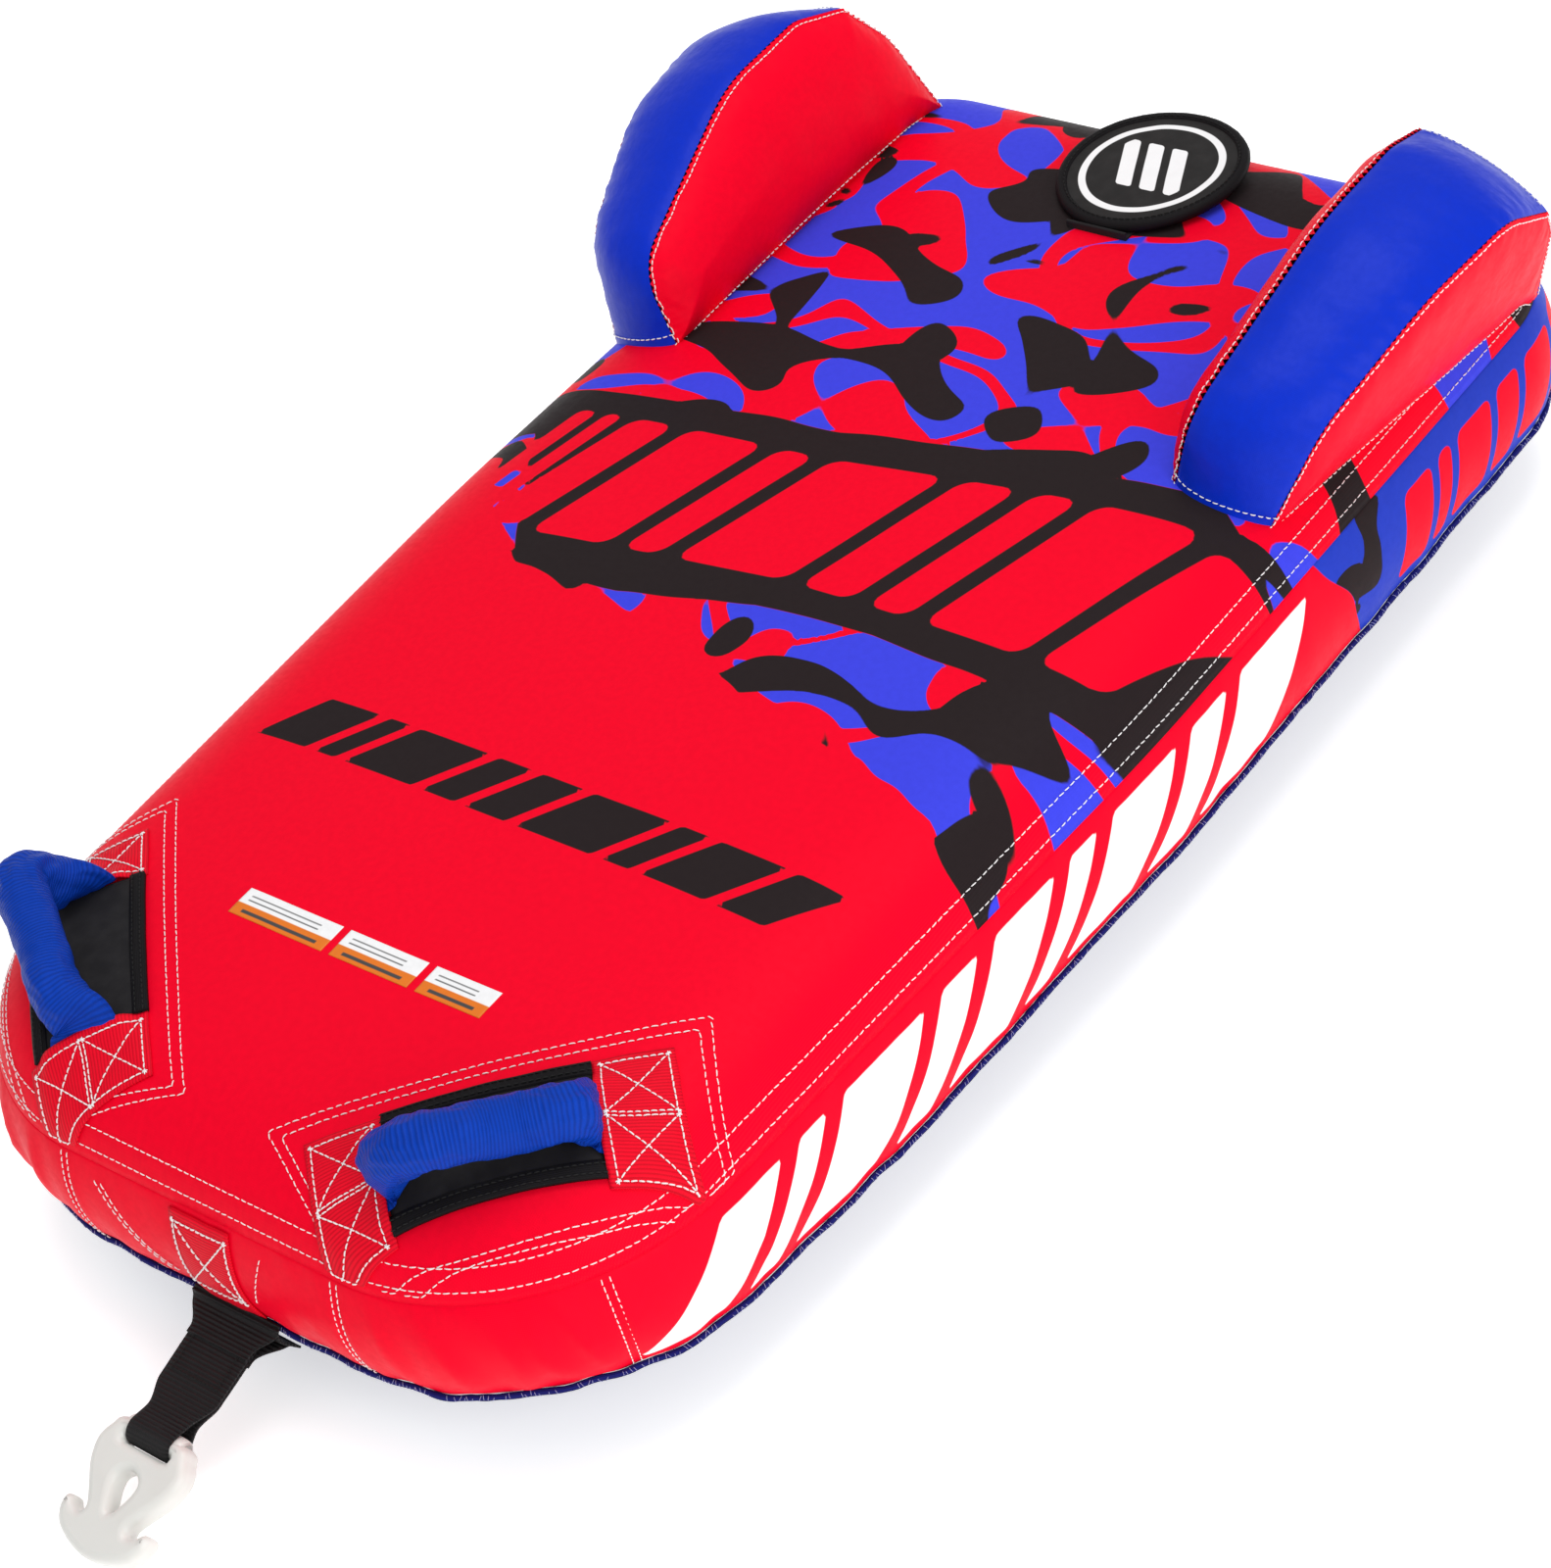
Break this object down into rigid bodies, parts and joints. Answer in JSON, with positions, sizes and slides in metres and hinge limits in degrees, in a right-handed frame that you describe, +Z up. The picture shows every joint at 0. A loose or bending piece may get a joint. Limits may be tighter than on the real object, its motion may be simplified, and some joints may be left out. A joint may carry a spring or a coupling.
{
  "type": "towable tube",
  "caption": "Inflated deck-style towable tube with a printed nylon cover, two inflated side wings, padded handles at the nose corners, a tow strap with quick hook and a covered inflation valve.",
  "frame": {"origin": "on the ground under the flat bottom, midway between the two sides, 568 mm behind the front edge of the nose seams", "axes": "+Z up, nose and tow hook towards -Y, tail towards +Y; +X is the rider's left and -X the rider's right, for a rider who faces the nose. Left and right in the node names are as seen from the nose, looking towards the tail"},
  "size_m": [0.679, 1.2903, 0.3138],
  "materials": {
    "deck_print": "coated nylon with a dye-printed camouflage in red, violet and black",
    "wall_print": "coated nylon, red with a blue camouflage rear",
    "red_nylon": "coated nylon, satin",
    "dark_red_nylon": "coated nylon, satin",
    "blue_nylon": "coated nylon, satin",
    "black_nylon": "coated nylon, satin",
    "dark_piping": "woven binding over cord",
    "red_webbing": "ribbed polyester webbing",
    "black_webbing": "ribbed polyester webbing",
    "blue_webbing": "ribbed nylon webbing sewn as a tube",
    "black_neoprene": "fabric-faced neoprene, matt",
    "black_binding": "folded woven tape",
    "grip_foam": "closed-cell foam tube",
    "handle_cord": "rolled webbing rope",
    "hook_tape": "hook fastener tape",
    "hook_nylon": "moulded white nylon",
    "bladder_vinyl": "heavy vinyl film",
    "valve_plastic": "moulded black plastic",
    "zip_tape": "woven zipper tape",
    "zip_teeth": "moulded zipper teeth",
    "grommet_metal": "plated metal",
    "label_vinyl": "printed vinyl label"
  },
  "bodies": {
    "root": {"bladder_baffles": "bladder_vinyl", "bottom_panel": "black_nylon", "bottom_piping": "dark_piping", "corner_wall_panel": "red_nylon", "deck_labels": "label_vinyl", "deck_panel": "deck_print", "drain_grommets": "grommet_metal", "handle_patch_front_left": "red_webbing", "handle_patch_front_right": "red_webbing", "handle_patch_rear_left": "red_webbing", "handle_patch_rear_right": "red_webbing", "knuckle_guard_binding_left": "black_binding", "knuckle_guard_binding_right": "black_binding", "knuckle_guard_left": "black_neoprene", "knuckle_guard_right": "black_neoprene", "main_bladder": "bladder_vinyl", "nose_patch": "red_webbing", "nose_wall_panel": "red_nylon", "rear_wall_panel": "wall_print", "side_wall_left": "wall_print", "side_wall_right": "wall_print", "tow_wrap": "black_webbing", "valve_base": "valve_plastic", "valve_cover_tab": "black_webbing", "valve_diaphragm": "valve_plastic", "valve_insert": "valve_plastic", "valve_opening_trim": "black_binding", "wing_air_neck_left": "bladder_vinyl", "wing_air_neck_right": "bladder_vinyl", "wing_bladder_left": "bladder_vinyl", "wing_bladder_right": "bladder_vinyl", "wing_gusset_left": "blue_nylon", "wing_gusset_right": "blue_nylon", "wing_inner_panel_left": "red_nylon", "wing_inner_panel_right": "red_nylon", "wing_outer_panel_left": "red_nylon", "wing_outer_panel_right": "red_nylon", "wing_rear_panel_left": "dark_red_nylon", "wing_rear_panel_right": "dark_red_nylon", "zipper_tape": "zip_tape", "zipper_teeth": "zip_teeth"},
    "handle_right": {"handle_core_right": "handle_cord", "handle_foam_right": "grip_foam", "handle_sleeve_right": "blue_webbing"},
    "handle_left": {"handle_core_left": "handle_cord", "handle_foam_left": "grip_foam", "handle_sleeve_left": "blue_webbing"},
    "tow_strap": {"tow_strap": "black_webbing"},
    "tow_hook": {"tow_hook": "hook_nylon"},
    "valve_cover": {"valve_cover": "black_neoprene", "valve_cover_binding": "black_binding", "valve_cover_hook_tape": "hook_tape"},
    "valve_cap": {"valve_cap": "valve_plastic"},
    "zipper_slider": {"zipper_slider": "grommet_metal"},
    "zipper_pull": {"zipper_pull": "grommet_metal"}
  },
  "joints": [
    {"name": "handle_right_swing", "type": "hinge", "parent": "root", "child": "handle_right", "pos_m": [0.1272, -0.5207, 0.20354], "axis": [0.7171, 0.6964, 0.0274], "range_deg": [-60, 15]},
    {"name": "handle_left_swing", "type": "hinge", "parent": "root", "child": "handle_left", "pos_m": [-0.1272, -0.5207, 0.20354], "axis": [0.7171, -0.6964, -0.0274], "range_deg": [-60, 15]},
    {"name": "tow_strap_swing", "type": "hinge", "parent": "root", "child": "tow_strap", "pos_m": [0, -0.585, 0.058], "axis": [-1, 0, 0], "range_deg": [-15, 60]},
    {"name": "tow_hook_swing", "type": "hinge", "parent": "tow_strap", "child": "tow_hook", "pos_m": [0, -0.657, 0.038], "axis": [1, 0, 0], "range_deg": [-35, 35]},
    {"name": "valve_cover_flap", "type": "hinge", "parent": "root", "child": "valve_cover", "pos_m": [0.008, 0.38, 0.20803], "axis": [1, 0, 0], "range_deg": [0, 150]},
    {"name": "valve_cap_turn", "type": "hinge", "parent": "root", "child": "valve_cap", "pos_m": [0.008, 0.451, 0.2], "axis": [0, 0, 1], "range_deg": [0, 270]},
    {"name": "zipper_slide", "type": "slide", "parent": "root", "child": "zipper_slider", "axis": [1, 0, 0], "range_m": [0, 0.34]},
    {"name": "zipper_pull_swing", "type": "hinge", "parent": "zipper_slider", "child": "zipper_pull", "pos_m": [-0.172, 0.55475, 0.1082], "axis": [1, 0, 0], "range_deg": [0, 150]}
  ]
}
